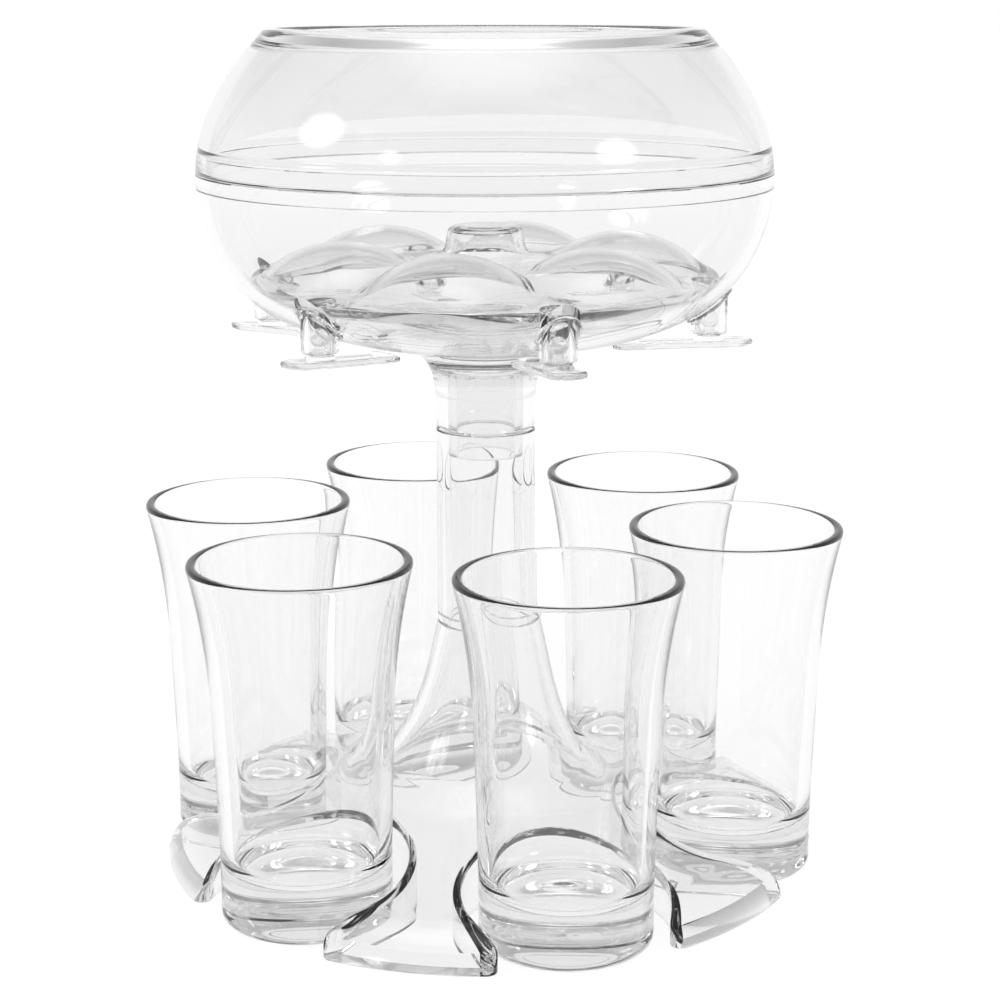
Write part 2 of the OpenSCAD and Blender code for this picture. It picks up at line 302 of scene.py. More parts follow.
def combined(target: bpy.types.Mesh, others: list[bpy.types.Mesh], how: str) -> bpy.types.Mesh:
    """Result of an exact boolean of one closed mesh with others.

    Args:
        target: The mesh that is cut or added to.
        others: Closed meshes that don't touch each other.
        how: DIFFERENCE or UNION.

    Returns:
        A new mesh.
    """
    made = [linked(mesh.name, mesh) for mesh in [target, *others]]
    for other in made[1:]:
        step = made[0].modifiers.new("step", "BOOLEAN")
        step.object, step.operation, step.solver = other, how, "EXACT"
    graph = bpy.context.evaluated_depsgraph_get()
    result = bpy.data.meshes.new_from_object(made[0].evaluated_get(graph))
    for one in made:
        bpy.data.objects.remove(one)
    return result


def turned_copy(mesh: bpy.types.Mesh, k: int) -> bpy.types.Mesh:
    """A copy of a mesh, turned about the axis of the dispenser.

    Args:
        mesh: Mesh in the place of number 1.
        k: Number of the place that it is turned to.

    Returns:
        The copy.
    """
    copy = mesh.copy()
    copy.transform(Matrix.Rotation((k - 1) * STEP, 4, "Z"))
    return copy


def put(made: bpy.types.Object, body: str, node: str, material: bpy.types.Material) -> None:
    """Dresses a finished piece and ties it to the frame.

    Args:
        made: The piece.
        body: Body that it rides on.
        node: Node that it stands for.
        material: Its material.
    """
    made.data.materials.clear()
    made.data.materials.append(material)
    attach(made, body)
    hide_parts(node)
    LOG.info("%s rides on %s for node %s, %d faces", made.name, body, node, len(made.data.polygons))


# ---------------------------------------------------------------- finishes


def set_inputs(node: bpy.types.Node, **values: object) -> bpy.types.Node:
    """Sets constants on the inputs of a node.

    Args:
        node: The node.
        values: Constants by the names of its inputs, with _ for each space.

    Returns:
        The same node.
    """
    for name, value in values.items():
        node.inputs[name.replace("_", " ")].default_value = value
    return node


class Graph:
    """Short calls for the nodes of one material, whose textures read Object coordinates only."""

    def __init__(self, name: str) -> None:
        """Starts a material with its shader and output.

        Args:
            name: Name of the material.
        """
        self.material = bpy.data.materials.new(name)
        self.material.use_nodes = True
        self.tree = self.material.node_tree
        self.shader = self.tree.nodes["Principled BSDF"]
        self.out = self.tree.nodes["Material Output"]
        self.place = self.tree.nodes.new("ShaderNodeTexCoord").outputs["Object"]

    def node(self, kind: str, **values: object) -> bpy.types.Node:
        """Adds a node of a kind, with constants on its inputs."""
        return set_inputs(self.tree.nodes.new(kind), **values)

    def noise(self, **values: object) -> bpy.types.NodeSocket:
        """Adds a noise texture.

        Args:
            values: Constants of its inputs.

        Returns:
            Socket that gives its value.
        """
        made = self.node("ShaderNodeTexNoise", **values)
        self.tree.links.new(self.place, made.inputs["Vector"])
        return made.outputs["Fac"]

    def bump(self, height: bpy.types.NodeSocket, strength: float, distance: float) -> None:
        """Bumps the shader's normal.

        Args:
            height: Socket that gives the height.
            strength: Share of the bump that shows.
            distance: Height of the bump, in metres.
        """
        made = self.node("ShaderNodeBump", Strength=strength, Distance=distance)
        self.tree.links.new(height, made.inputs["Height"])
        self.tree.links.new(made.outputs["Normal"], self.shader.inputs["Normal"])

    def tone(self, value: bpy.types.NodeSocket, ends: tuple, ease: bool = False) -> None:
        """Colours the shader by a value.

        Args:
            value: Socket that gives the value.
            ends: Two pairs of a place on the ramp and its colour.
            ease: Blends the colours with a slow start and end.
        """
        made = self.node("ShaderNodeValToRGB")
        made.color_ramp.interpolation = "EASE" if ease else "LINEAR"
        for element, (position, colour) in zip(made.color_ramp.elements, ends):
            element.position, element.color = position, (*colour, 1)
        self.tree.links.new(value, made.inputs["Fac"])
        self.tree.links.new(made.outputs["Color"], self.shader.inputs["Base Color"])

    def gloss(self, value: bpy.types.NodeSocket, **values: object) -> None:
        """Sets the shader's roughness by a value.

        Args:
            value: Socket that gives the value.
            values: Ends of its range and of the range of the roughness.
        """
        made = self.node("ShaderNodeMapRange", **values)
        self.tree.links.new(value, made.inputs["Value"])
        self.tree.links.new(made.outputs["Result"], self.shader.inputs["Roughness"])


@dataclass(frozen=True)
class ClearFinish:
    """A clear moulded material: it bends light, carries painted shade along its edges and ripples a little.

    The light that passes is darker by the length of its way through. Its colour also holds painted shade: it
    goes darker where a face is seen edge-on, giving the dark outlines that dark surroundings would give.
    """

    name: str
    face_grey: float
    # painted shade: the grey of a face seen edge-on, darker than the grey it has face-on
    edge_shade_grey: float
    depth_density: float
    ior: float = 1.49
    depth_grey: float = 0.5
    ripple_size: float = 0.022
    ripple_depth: float = 0.02 * MM

    def material(self) -> bpy.types.Material:
        """Builds the material.

        Returns:
            A material that reads Object coordinates only.
        """
        graph = Graph(self.name)
        set_inputs(graph.shader, Transmission_Weight=1, IOR=self.ior)
        facing = graph.node("ShaderNodeLayerWeight", Blend=0.5).outputs["Facing"]
        # painted shade: the base colour darkens where a face is seen edge-on, for dark outlines
        graph.tone(facing, ((0.45, (self.face_grey,) * 3), (1, (self.edge_shade_grey,) * 3)), ease=True)
        smears = graph.noise(Scale=60, Detail=4)
        graph.gloss(smears, From_Min=0.45, From_Max=0.8, To_Min=0.0, To_Max=0.035)
        graph.bump(graph.noise(Scale=1 / self.ripple_size, Detail=1), 1, self.ripple_depth)
        depth = graph.node("ShaderNodeVolumeAbsorption", Color=(*(self.depth_grey,) * 3, 1),
                           Density=self.depth_density)
        graph.tree.links.new(depth.outputs["Volume"], graph.out.inputs["Volume"])
        return graph.material


@dataclass(frozen=True)
class SiliconeFinish:
    """Milky silicone rubber: smooth, half see-through, with faint cloudy patches and fine grain."""

    name: str
    shade: float = 0.985
    cloud: float = 0.03

    def material(self) -> bpy.types.Material:
        """Builds the material.

        Returns:
            A material that reads Object coordinates only.
        """
        graph = Graph(self.name)
        set_inputs(graph.shader, IOR=1.18, Transmission_Weight=0.96, Subsurface_Weight=0.25,
                   Subsurface_Radius=(1, 1, 1), Subsurface_Scale=2 * MM)
        clouds = graph.noise(Scale=180, Detail=3)
        low, high = self.shade - self.cloud, self.shade
        graph.tone(clouds, ((0.3, (low, low, low)), (0.7, (high, high, high * 0.995))))
        graph.bump(graph.noise(Scale=2400), 0.4, 0.004 * MM)
        graph.gloss(clouds, To_Min=0.03, To_Max=0.1)
        return graph.material


# ---------------------------------------------------------------- base


@dataclass
class PetalBase:
    """Six-petal base moulded in one with the flared foot, hollow from below.

    In plan its edge runs along each round recess, round a petal corner and along the rim. Its
    height depends on the radius alone, and rolls over along that edge.
    """

    rim_r: float
    column_r: float
    ring_r: float = GLASS_RING_R
    recess_r: float = 21.0
    petal_h: float = 16.8
    petal_edge_h: float = 8.6
    foot_h: float = 50.5
    lap_h: float = LAP_H
    bore_r: float = BORE_R
    wall: float = 2.4
    corner_r: float = 2.0
    roll: float = 0.8
    recess_wall: float = 1.6
    foot_ease: float = 0.4

    def __post_init__(self) -> None:
        """Works out the height profile and the columns of each petal."""
        bend = (self.column_r + 12.2, self.petal_h + 3.4)
        start = (self.column_r + 20.4, self.petal_h - 1.4)
        end = (self.rim_r - 10, self.petal_edge_h)
        self.profile = chain(
            cubic((self.column_r, self.foot_h), (self.column_r + 2.4, self.foot_h - 10.5),
                  (self.column_r + 3.6, self.petal_h + 13.6), bend, 36),
            cubic(bend, (bend[0] + 4.2, bend[1] - 2.6), (start[0] - 3, start[1] + 0.7), start, 12),
            cubic(start, (start[0] + 10, start[1] - 2.4), (end[0] - 8, end[1] + 1.1), end, 30),
            cubic(end, (end[0] + 5, end[1] - 0.7), (self.rim_r - 1, 3.8), (self.rim_r, 0.8), 24))
        # shares of half a petal's angle, close together at its sides, where the roll is
        near = np.array([0, 0.004, 0.012, 0.025, 0.042, 0.065, 0.1, 0.15, 0.22, 0.32, 0.44, 0.58, 0.72, 0.86])
        self.columns = np.r_[-1 + near, 0, (1 - near)[::-1]]

    def edge(self, arc_steps: int = 46, corner_steps: int = 12) -> np.ndarray:
        """Half of a petal's edge in plan, seen from a glass: its recess arc, then its corner arc.

        Args:
            arc_steps: Stretches along the recess.
            corner_steps: Stretches round the corner.

        Returns:
            Array of shape (n, 4): along the axis of the glass, across it, and the inward normal.
        """
        corner = self.corner_middle()
        to_glass = np.array([self.ring_r, 0]) - corner
        last = math.pi - math.atan2(-to_glass[1], -to_glass[0])
        phi = np.linspace(0, last, arc_steps + 1)
        way = np.c_[-np.cos(phi), np.sin(phi)]
        recess = np.c_[np.array([self.ring_r, 0]) + self.recess_r * way, way]
        first, final = math.atan2(to_glass[1], to_glass[0]), math.atan2(corner[1], corner[0])
        angle = np.linspace(first, final, corner_steps + 1)[1:]
        out = np.c_[np.cos(angle), np.sin(angle)]
        return np.vstack([recess, np.c_[corner + self.corner_r * out, -out]])

    def corner_middle(self) -> np.ndarray:
        """Middle of a petal's corner arc, as far from the rim as from the recess by the law of cosines.

        Returns:
            Array of two: along the axis of the glass, and across it.
        """
        far, near = self.rim_r - self.corner_r, self.recess_r + self.corner_r
        along = (far**2 + self.ring_r**2 - near**2) / (2 * self.ring_r)
        return np.array([along, math.sqrt(far**2 - along**2)])

    def inset(self, along: np.ndarray, across: np.ndarray) -> np.ndarray:
        """Distance of points from the base's edge in plan.

        It is the least of the distances to the recess circle and the rim circle, or to the
        corner arc for points in its sector.

        Args:
            along: Places along the axis of the nearest glass.
            across: Places across it, none negative.

        Returns:
            Distances in mm, of the same shape.
        """
        corner = self.corner_middle()
        first = np.array([self.ring_r, 0]) - corner
        final = corner / np.linalg.norm(corner)
        first = first / np.linalg.norm(first)
        dx, dy = along - corner[0], across - corner[1]
        turn = first[0] * final[1] - first[1] * final[0]
        a = (dx * final[1] - dy * final[0]) / turn
        b = (first[0] * dy - first[1] * dx) / turn
        plain = np.minimum(np.hypot(along - self.ring_r, across) - self.recess_r,
                           self.rim_r - np.hypot(along, across))
        return np.maximum(np.where((a > 0) & (b > 0), self.corner_r - np.hypot(dx, dy), plain), 0)

    def top(self, r: np.ndarray, angle: np.ndarray, height: np.ndarray) -> np.ndarray:
        """Points of the upper surface: the height less a quarter-round roll along the edge.

        Args:
            r: Radii in mm.
            angle: Angles from -Y towards +X.
            height: Heights before the roll.

        Returns:
            Array of shape (..., 3).
        """
        from_glass = np.abs((angle + HALF_STEP) % STEP - HALF_STEP)
        depth = self.inset(r * np.cos(from_glass), r * np.sin(from_glass))
        roll = np.minimum(self.roll, 0.45 * height)
        short = np.clip(roll - depth, 0, roll)
        z = height - (roll - np.sqrt(np.maximum(roll**2 - short**2, 0)))
        return polar(r, angle, z)

    def height(self, r: np.ndarray) -> np.ndarray:
        """Height of the upper surface at a radius, before the roll."""
        return np.interp(r, self.profile[:, 0], self.profile[:, 1])

    def mesh(self) -> bpy.types.Mesh:
        """Builds the whole base: top, walls, cavities and the flat rims it stands on.

        Returns:
            A closed mesh.
        """
        skin = Skin()
        around = np.concatenate([HALF_STEP + k * STEP + self.columns[:-1] * HALF_STEP for k in range(COPIES)])
        inner_r = self.ring_r - self.recess_r
        tongue_r = (self.column_r + self.bore_r) / 2 - LAP_GAP
        lap_z = self.foot_h + self.lap_h
        start = np.array([[self.bore_r, lap_z], [tongue_r, lap_z], [tongue_r, self.foot_h]])
        flare = self.profile[self.profile[:, 0] < inner_r - 1.2 * self.roll]
        last = inner_r - self.roll * np.array([1.1, 0.85, 0.65, 0.48, 0.34, 0.22, 0.12, 0.05, 0.01, 0])
        hub = chain(start, flare, np.c_[last, self.height(last)])
        skin.grid(self.top(hub[:, :1], around, hub[:, 1:]), close_columns=True)

        edge = self.edge()
        r = np.hypot(edge[:, 0], edge[:, 1])
        half = HALF_STEP - np.arctan2(edge[:, 1], edge[:, 0])
        side_normal = np.arctan2(edge[:, 3], edge[:, 2])
        for k in range(COPIES):
            middle = HALF_STEP + k * STEP
            angle = middle + half[:, None] * self.columns
            petal = self.top(np.repeat(r[:, None], len(self.columns), axis=1), angle,
                             self.height(r)[:, None])
            skin.grid(petal)
            loop = np.vstack([petal[:, 0], petal[-1, 1:-1], petal[::-1, -1]])
            rim_way = angle[-1, 1:-1] + math.pi
            way = np.r_[middle - HALF_STEP + side_normal, rim_way, (middle + HALF_STEP - side_normal)[::-1]]
            skin.grid(self.side(loop, way))
            skin.grid(self.petal_roof(middle))
            skin.grid(self.petal_wall(middle))
        skin.grid(turned(self.hub_roof(), around), close_columns=True)
        return outwards(skin.mesh("petal_base"), fill_flat=True)

    def side(self, loop: np.ndarray, way: np.ndarray) -> np.ndarray:
        """Upright wall below an edge, drawn in a little at the table.

        Args:
            loop: Points of the edge, of shape (n, 3).
            way: Angle of the inward normal at each.

        Returns:
            Grid of shape (rows, n, 3).
        """
        foot = np.minimum(self.foot_ease, 0.5 * loop[:, 2])
        share = np.array([1, 0.8, 0.6, 0.4, 0.2, 0])[:, None]
        z = np.vstack([foot + share * (loop[:, 2] - foot), 0.4 * foot, 0 * foot])
        inwards = np.stack([np.sin(way), -np.cos(way)], axis=-1)
        step = np.r_[np.zeros(len(share)), 0.08, 0.3][:, None, None]
        flat = loop[None, :, :2] + step * inwards
        return np.concatenate([flat, z[..., None]], axis=-1)

    def roof_line(self) -> np.ndarray:
        """Height profile of the hollow underside, one wall below the top."""
        line = beside(self.profile, -self.wall)
        return line[line[:, 1] > self.wall + 0.2]

    def roof_rows(self, rows: int = 44) -> np.ndarray:
        """Radii of the ceiling's rows under a petal, at even turns of the recess wall's arc.

        Args:
            rows: Number of rows.

        Returns:
            Array of that many radii, in mm.
        """
        glass = self.recess_r + self.recess_wall
        last = self.roof_line()[-1, 0]
        final = math.acos((self.ring_r**2 + glass**2 - last**2) / (2 * self.ring_r * glass))
        phi = np.linspace(0, final, rows)
        return np.sqrt(self.ring_r**2 + glass**2 - 2 * self.ring_r * glass * np.cos(phi))

    def petal_roof(self, middle: float) -> np.ndarray:
        """Ceiling of the cavity under one petal, whose sides follow the recess walls.

        Half the angle that it spans at a radius comes from the law of cosines.

        Args:
            middle: Angle of the petal's middle.

        Returns:
            Grid of shape (rows, columns, 3).
        """
        line, r = self.roof_line(), self.roof_rows()
        glass = self.recess_r + self.recess_wall
        seen = (r**2 + self.ring_r**2 - glass**2) / (2 * r * self.ring_r)
        half = HALF_STEP - np.arccos(np.clip(seen, -1, 1))
        z = np.interp(r, line[:, 0], line[:, 1])
        angle = middle + half[:, None] * self.columns
        return polar(r[:, None], angle, z[:, None])

    def petal_wall(self, middle: float) -> np.ndarray:
        """Walls round the cavity under one petal, from its ceiling to the table.

        Args:
            middle: Angle of the petal's middle.

        Returns:
            Grid of shape (rows, columns, 3).
        """
        roof = self.petal_roof(middle)
        loop = np.vstack([roof[:-1, 0], roof[-1], roof[-2::-1, -1]])
        share = np.array([1, 0.66, 0.33, 0])[:, None]
        z = share * loop[:, 2]
        return np.concatenate([np.repeat(loop[None, :, :2], len(share), axis=0), z[..., None]], axis=-1)

    def hub_roof(self) -> np.ndarray:
        """Outline of the hollow inside the foot, from the bore out to the recess walls.

        Returns:
            Array of shape (n, 2).
        """
        line = self.roof_line()
        edge = self.roof_rows()[0]
        edge_z = float(np.interp(edge, line[:, 0], line[:, 1]))
        line = line[(line[:, 0] > self.bore_r + 0.05) & (line[:, 0] < edge - 0.3)]
        return chain([[self.bore_r, self.foot_h + self.lap_h], [self.bore_r, line[0, 1] + 0.6]], line,
                     [[edge, edge_z]])


# ---------------------------------------------------------------- column


@dataclass
class Column:
    """Column tube on the foot, and the sleeve that joins it to the stem of the bowl."""

    radius: float
    bottom: float
    top: float
    bore_r: float = BORE_R
    lap_h: float = LAP_H
    fit: float = 0.07
    sleeve_wall: float = 1.7
    sleeve_down: float = 5.5
    sleeve_up: float = 14.0

    def tube(self) -> bpy.types.Mesh:
        """The column tube, with a rebate at its lower end for the lap joint.

        Returns:
            A closed mesh.
        """
        lap_r = (self.radius + self.bore_r) / 2 + LAP_GAP
        lap_z = self.bottom + self.lap_h + LAP_GAP
        return turned_mesh("column_tube", eased([
            (self.radius, self.bottom, 0.15), (self.radius, self.top, 0.3), (self.bore_r, self.top, 0.3),
            (self.bore_r, lap_z, 0.1), (lap_r, lap_z, 0.1), (lap_r, self.bottom, 0.1)]))

    def sleeve(self) -> bpy.types.Mesh:
        """The connector sleeve, with eased ends.

        Returns:
            A closed mesh.
        """
        out = self.bore_r - self.fit
        low, high = self.top - self.sleeve_down, self.top + self.sleeve_up
        return turned_mesh("sleeve_tube", eased([
            (out, low, 0.5), (out, high, 0.5), (out - self.sleeve_wall, high, 0.4),
            (out - self.sleeve_wall, low, 0.4)]))


# ---------------------------------------------------------------- bowl


@dataclass
class Bowl:
    """Round bowl of two shells that lap at its belly, on a stem."""

    radius: float
    mouth_z: float
    column_top: float
    mouth_r: float = 44.9
    stem_r: float = 10.6
    bore_r: float = BORE_R
    wall: float = 2.3
    neck_h: float = 7.7
    under_h: float = 18.5
    belly_h: float = 53.0
    lap_up: float = 1.7
    lap_h: float = 3.4
    band_t: float = 0.5
    band_h: float = 2.9
    stem_cap: float = 2.8
    lip_h: float = 2.4
    lip_extra: float = 0.4
    spout_ring_r: float = 47.5
    spout_hole_r: float = 3.8
    flat_steps: int = 12

    def __post_init__(self) -> None:
        """Works out the outlines that other pieces lean on."""
        self.neck_z = self.column_top + self.neck_h
        self.under_z = self.column_top + self.under_h
        self.belly_z = self.column_top + self.belly_h
        self.lap_z = self.belly_z + self.lap_up
        u_in = (20, self.under_z)
        u_out = (self.radius - 9.5, self.under_z + 11.2)
        belly = (self.radius, self.belly_z)
        self.flare = cubic((self.stem_r + 0.3, self.neck_z), (self.stem_r + 0.3, self.neck_z + 6),
                           (self.stem_r + 2.9, self.under_z - 1.2), u_in, 28)
        self.underside = chain(
            cubic(u_in, (u_in[0] + 12, u_in[1] + 1.6), (u_out[0] - 6.4, u_out[1] - 6.2), u_out, 40),
            cubic(u_out, (u_out[0] + 4, u_out[1] + 3.9), (belly[0], belly[1] - 11), belly, 36))
        low = self.under_z - 0.3
        self.floor_line = chain(
            cubic((0, low), (6, low), (12, low), u_in, self.flat_steps), self.underside,
            [[self.radius, self.lap_z], [self.radius, self.lap_z + self.lap_h]])
        self.inside = beside(self.floor_line, self.wall)
        self.inside[0, 0] = 0

    def under(self, r: np.ndarray) -> np.ndarray:
        """Height of the bowl's underside at a radius."""
        line = self.floor_line[self.floor_line[:, 1] <= self.belly_z]
        return np.interp(r, line[:, 0], line[:, 1])

    def lower(self) -> bpy.types.Mesh:
        """Lower shell: a turned outline with its stem and lap, and the holes for the spouts.

        Returns:
            A closed mesh.
        """
        outer = self.radius
        tongue = outer - self.wall - LAP_GAP
        band_r = outer - self.wall - self.band_t
        top = self.lap_z + self.lap_h
        under_band = self.lap_z - self.band_h
        inner = self.inside[self.inside[:, 1] < under_band - 0.3][::-1]
        cap_z = self.under_z - self.stem_cap
        end_z, ease_z = self.column_top + 0.05, self.column_top + 0.35
        outline = chain(
            [[self.bore_r, ease_z], [self.bore_r + 0.3, end_z], [self.stem_r - 0.3, end_z],
             [self.stem_r, ease_z], [self.stem_r, self.neck_z - 0.6]],
            self.flare, self.underside,
            [[outer, self.lap_z - 0.15], [outer - 0.12, self.lap_z], [tongue, self.lap_z],
             [tongue, top - 0.15], [tongue - 0.12, top], [band_r + 0.15, top], [band_r, top - 0.15],
             [band_r, under_band + 0.2], [band_r + 0.12, under_band], [tongue, under_band - 0.1]],
            inner,
            cubic((0, cap_z), (self.bore_r * 0.6, cap_z), (self.bore_r, cap_z),
                  (self.bore_r, cap_z - 1.3), 12))
        shell = turned_mesh("lower_shell", self.on_axis(outline), 216)
        return combined(shell, self.hole_cutters(), "DIFFERENCE")

    @staticmethod
    def on_axis(outline: np.ndarray) -> np.ndarray:
        """The closed outline with no step between its two points on the axis."""
        return np.where(outline < 1e-4, 0, outline)

    def hole_cutters(self) -> list[bpy.types.Mesh]:
        """Upright cylinders where the spouts pass the shell and the divider.

        Returns:
            A closed mesh for each spout.
        """
        low, high = self.under_z - 2, self.under_z + 26
        outline = np.array([[0, low], [self.spout_hole_r, low], [self.spout_hole_r, high], [0, high]])
        first = turned_mesh("hole", outline, 64, (0, -self.spout_ring_r))
        return [turned_copy(first, k) for k in range(1, COPIES + 1)]

    def upper(self) -> bpy.types.Mesh:
        """Upper shell: a turned outline from the lap to the thicker lip of the mouth.

        Returns:
            A closed mesh.
        """
        outer, top = self.radius, self.mouth_z
        face = outer - self.wall
        side = cubic((outer, self.belly_z), (outer, self.belly_z + 12), (self.mouth_r + 9.1, top - 9.9),
                     (self.mouth_r, top), 60)
        inner = beside(side, self.wall)
        lip_in = self.mouth_r - self.wall - self.lip_extra
        seat_z = self.lap_z + self.lap_h + LAP_GAP
        outside = side[(side[:, 1] > self.lap_z + 0.4) & (side[:, 1] < top - 0.9)]
        inside = inner[(inner[:, 1] > seat_z + 0.9) & (inner[:, 1] < top - self.lip_h - 2.4)][::-1]
        lip = cubic(tuple(outside[-1]), (self.mouth_r + 0.1, top), (self.mouth_r - 0.2, top),
                    (self.mouth_r - 1.2, top), 10)
        roll = cubic((lip_in + 0.9, top), (lip_in + 0.1, top), (lip_in, top - 0.3), (lip_in, top - 1.1), 8)
        lead = inside[0] - inside[1]
        lead = lead / np.linalg.norm(lead)
        neck = cubic((lip_in, top - 1.5), (lip_in, top - self.lip_h - 0.4), tuple(inside[0] + 2 * lead),
                     tuple(inside[0]), 14)
        return turned_mesh("upper_shell", chain(
            [[outer, self.lap_z + 0.2]], outside, lip, roll, neck, inside,
            [[face, seat_z + 0.15], [face, self.lap_z + 0.2], [face + 0.15, self.lap_z + LAP_GAP],
             [outer - 0.12, self.lap_z + LAP_GAP]]), 216)


@dataclass
class FlowDivider:
    """Moulded floor in the bowl: a raised middle, six domes and six channels to the spouts.

    Its top is the smooth greatest of a turned floor and six spheres. Its underside is the same
    with the floor's outline one wall lower and the spheres one wall smaller.
    """

    bowl: Bowl
    wall: float = 1.6
    rim_h: float = 13.8
    rise: float = 4.9
    boss_r: float = 8.0
    boss_h: float = 6.0
    dome_r: float = 24.3
    dome_h: float = 8.4
    dome_ring_r: float = 30.8
    gap: float = 0.2
    blend: float = 2.2
    edge_h: float = 2.2

    def __post_init__(self) -> None:
        """Works out the turned floor."""
        rim_z = self.bowl.under_z + self.rim_h
        rim_r = self.bowl.radius - 7.9
        top = rim_z + self.rise + self.boss_h
        foot, boss = rim_z + self.rise, self.boss_r
        self.rim_z = rim_z
        self.floor = chain(
            [[0, top]],
            cubic((boss - 3, top), (boss - 1, top), (boss - 0.2, top - 0.4), (boss, top - 1.6), 8),
            cubic((boss + 0.3, foot + 2.4), (boss + 0.5, foot + 0.6), (boss + 1, foot + 0.2),
                  (boss + 2.6, foot - 0.2), 8),
            cubic((boss + 2.6, foot - 0.2), (boss + 9, foot - 0.9), (rim_r - 16, rim_z + 0.6),
                  (rim_r, rim_z), 30))

    def surface(self, x: np.ndarray, y: np.ndarray, below: float = 0) -> np.ndarray:
        """Height of the top at points in plan: floor and domes joined by a smooth maximum.

        Args:
            x: Places in mm.
            y: Places in mm, of the same shape.
            below: How far the surface lies under the top, square to it.

        Returns:
            Heights in mm, of the same shape.
        """
        line = beside(self.floor, -below)
        z = np.interp(np.hypot(x, y), np.maximum.accumulate(line[:, 0]), line[:, 1])
        middle_z = self.rim_z + self.dome_h - self.dome_r
        for k in range(COPIES):
            a = HALF_STEP + k * STEP
            flat = (x - self.dome_ring_r * math.sin(a)) ** 2 + (y + self.dome_ring_r * math.cos(a)) ** 2
            dome = middle_z + np.sqrt(np.maximum((self.dome_r - below) ** 2 - flat, 0))
            near = np.maximum(self.blend - np.abs(z - dome), 0) / self.blend
            z = np.maximum(z, dome) + near**2 * self.blend / 4
        return z

    def wall_radius(self, z: np.ndarray) -> np.ndarray:
        """Radius of the bowl's inside, less the gap, at heights above its flat middle."""
        wall = beside(self.bowl.inside, self.gap)[self.bowl.flat_steps:]
        return np.interp(z, wall[:, 1], wall[:, 0])

    def edge_radius(self, angle: np.ndarray, least: float = 40.0, most: float = 58.0,
                    halvings: int = 30) -> np.ndarray:
        """Radius at which the top meets the bowl, found by halving steps.

        Args:
            angle: Angles from -Y towards +X.
            least: A radius within the bowl, in mm.
            most: A radius outside it.
            halvings: Number of steps.

        Returns:
            Radii in mm, of the same shape as the angles.
        """
        low, high = np.full_like(angle, least), np.full_like(angle, most)
        for _ in range(halvings):
            r = (low + high) / 2
            within = r < self.wall_radius(self.surface(r * np.sin(angle), -r * np.cos(angle)))
            low, high = np.where(within, r, low), np.where(within, high, r)
        return low

    def mesh(self, columns: int = 240) -> bpy.types.Mesh:
        """Builds the divider.

        Args:
            columns: Columns round the axis.

        Returns:
            A closed mesh with holes for the spouts.
        """
        angle = full_circle(columns)
        rows = np.r_[np.linspace(0, 0.1, 6), np.linspace(0.11, 0.2, 26), np.linspace(0.212, 1, 70)][:, None]
        out = polar(1, angle, 0)
        top = rows[..., None] * self.edge_radius(angle)[:, None] * out
        top[..., 2] = self.surface(top[..., 0], top[..., 1])
        low_z = top[-1, :, 2] - self.edge_h
        low_r = self.wall_radius(low_z)
        under = rows[..., None] * (low_r - self.wall)[:, None] * out
        under[..., 2] = self.surface(under[..., 0], under[..., 1], self.wall)
        lift = np.array([0, 0, 1.0])
        outer_low = low_r[:, None] * out + low_z[:, None] * lift
        inner_low = outer_low - self.wall * out
        rim = np.stack([top[-1], outer_low + 0.15 * lift, outer_low - 0.12 * out, inner_low + 0.12 * out,
                        inner_low + 0.15 * lift, under[-1]])
        skin = Skin().grid(top, close_columns=True).grid(under, close_columns=True)
        skin.grid(rim, close_columns=True)
        return combined(outwards(skin.mesh("divider")), self.bowl.hole_cutters(), "DIFFERENCE")


# ---------------------------------------------------------------- spouts and stoppers


@dataclass
class Spout:
    """Short tube under the bowl with an oblique collar that follows the bowl's underside."""

    bowl: Bowl
    low_z: float
    high_z: float
    radius: float = 3.75
    bore_r: float = 2.2
    collar_w: float = 0.9
    collar_t: float = 0.7
    lead: float = 0.05

    def mesh(self, columns: int = 96) -> bpy.types.Mesh:
        """Builds the first spout: a turned outline whose collar rows ride up and down with the bowl.

        Args:
            columns: Columns round the spout.

        Returns:
            A closed mesh in the place of number 1.
        """
        r0, low, high = self.radius, self.low_z, self.high_z
        wide = r0 + self.collar_w
        lead, length, bore = self.lead, high - low, self.bore_r
        face = lead + self.collar_t
        # radius; height above the lower end, or below the bowl's underside; 1 where the latter rules
        rows = np.array([
            [bore, 0.3, 0], [bore + 0.25, 0.02, 0], [r0 - 0.55, 0, 0], [r0 - 0.15, 0.14, 0],
            [r0, 0.6, 0], [r0, 2.2, 0], [r0, face + 0.75, 1], [r0 + 0.12, face + 0.25, 1],
            [r0 + 0.4, face, 1], [wide - 0.2, face, 1], [wide, lead + 0.5 * self.collar_t, 1],
            [wide - 0.08, lead, 1], [r0, lead, 1], [r0, length - 0.3, 0], [r0 - 0.2, length, 0],
            [bore + 0.3, length, 0], [bore, length - 0.3, 0]])
        angle = full_circle(columns)
        x, y = rows[:, :1] * np.sin(angle), -rows[:, :1] * np.cos(angle) - self.bowl.spout_ring_r
        ruled = self.bowl.under(np.hypot(x, y)) - rows[:, 1:2]
        z = np.where(rows[:, 2:] > 0, ruled, low + rows[:, 1:2])
        return outwards(Skin().grid(np.stack([x, y, z], axis=-1), True, True).mesh("spout"))


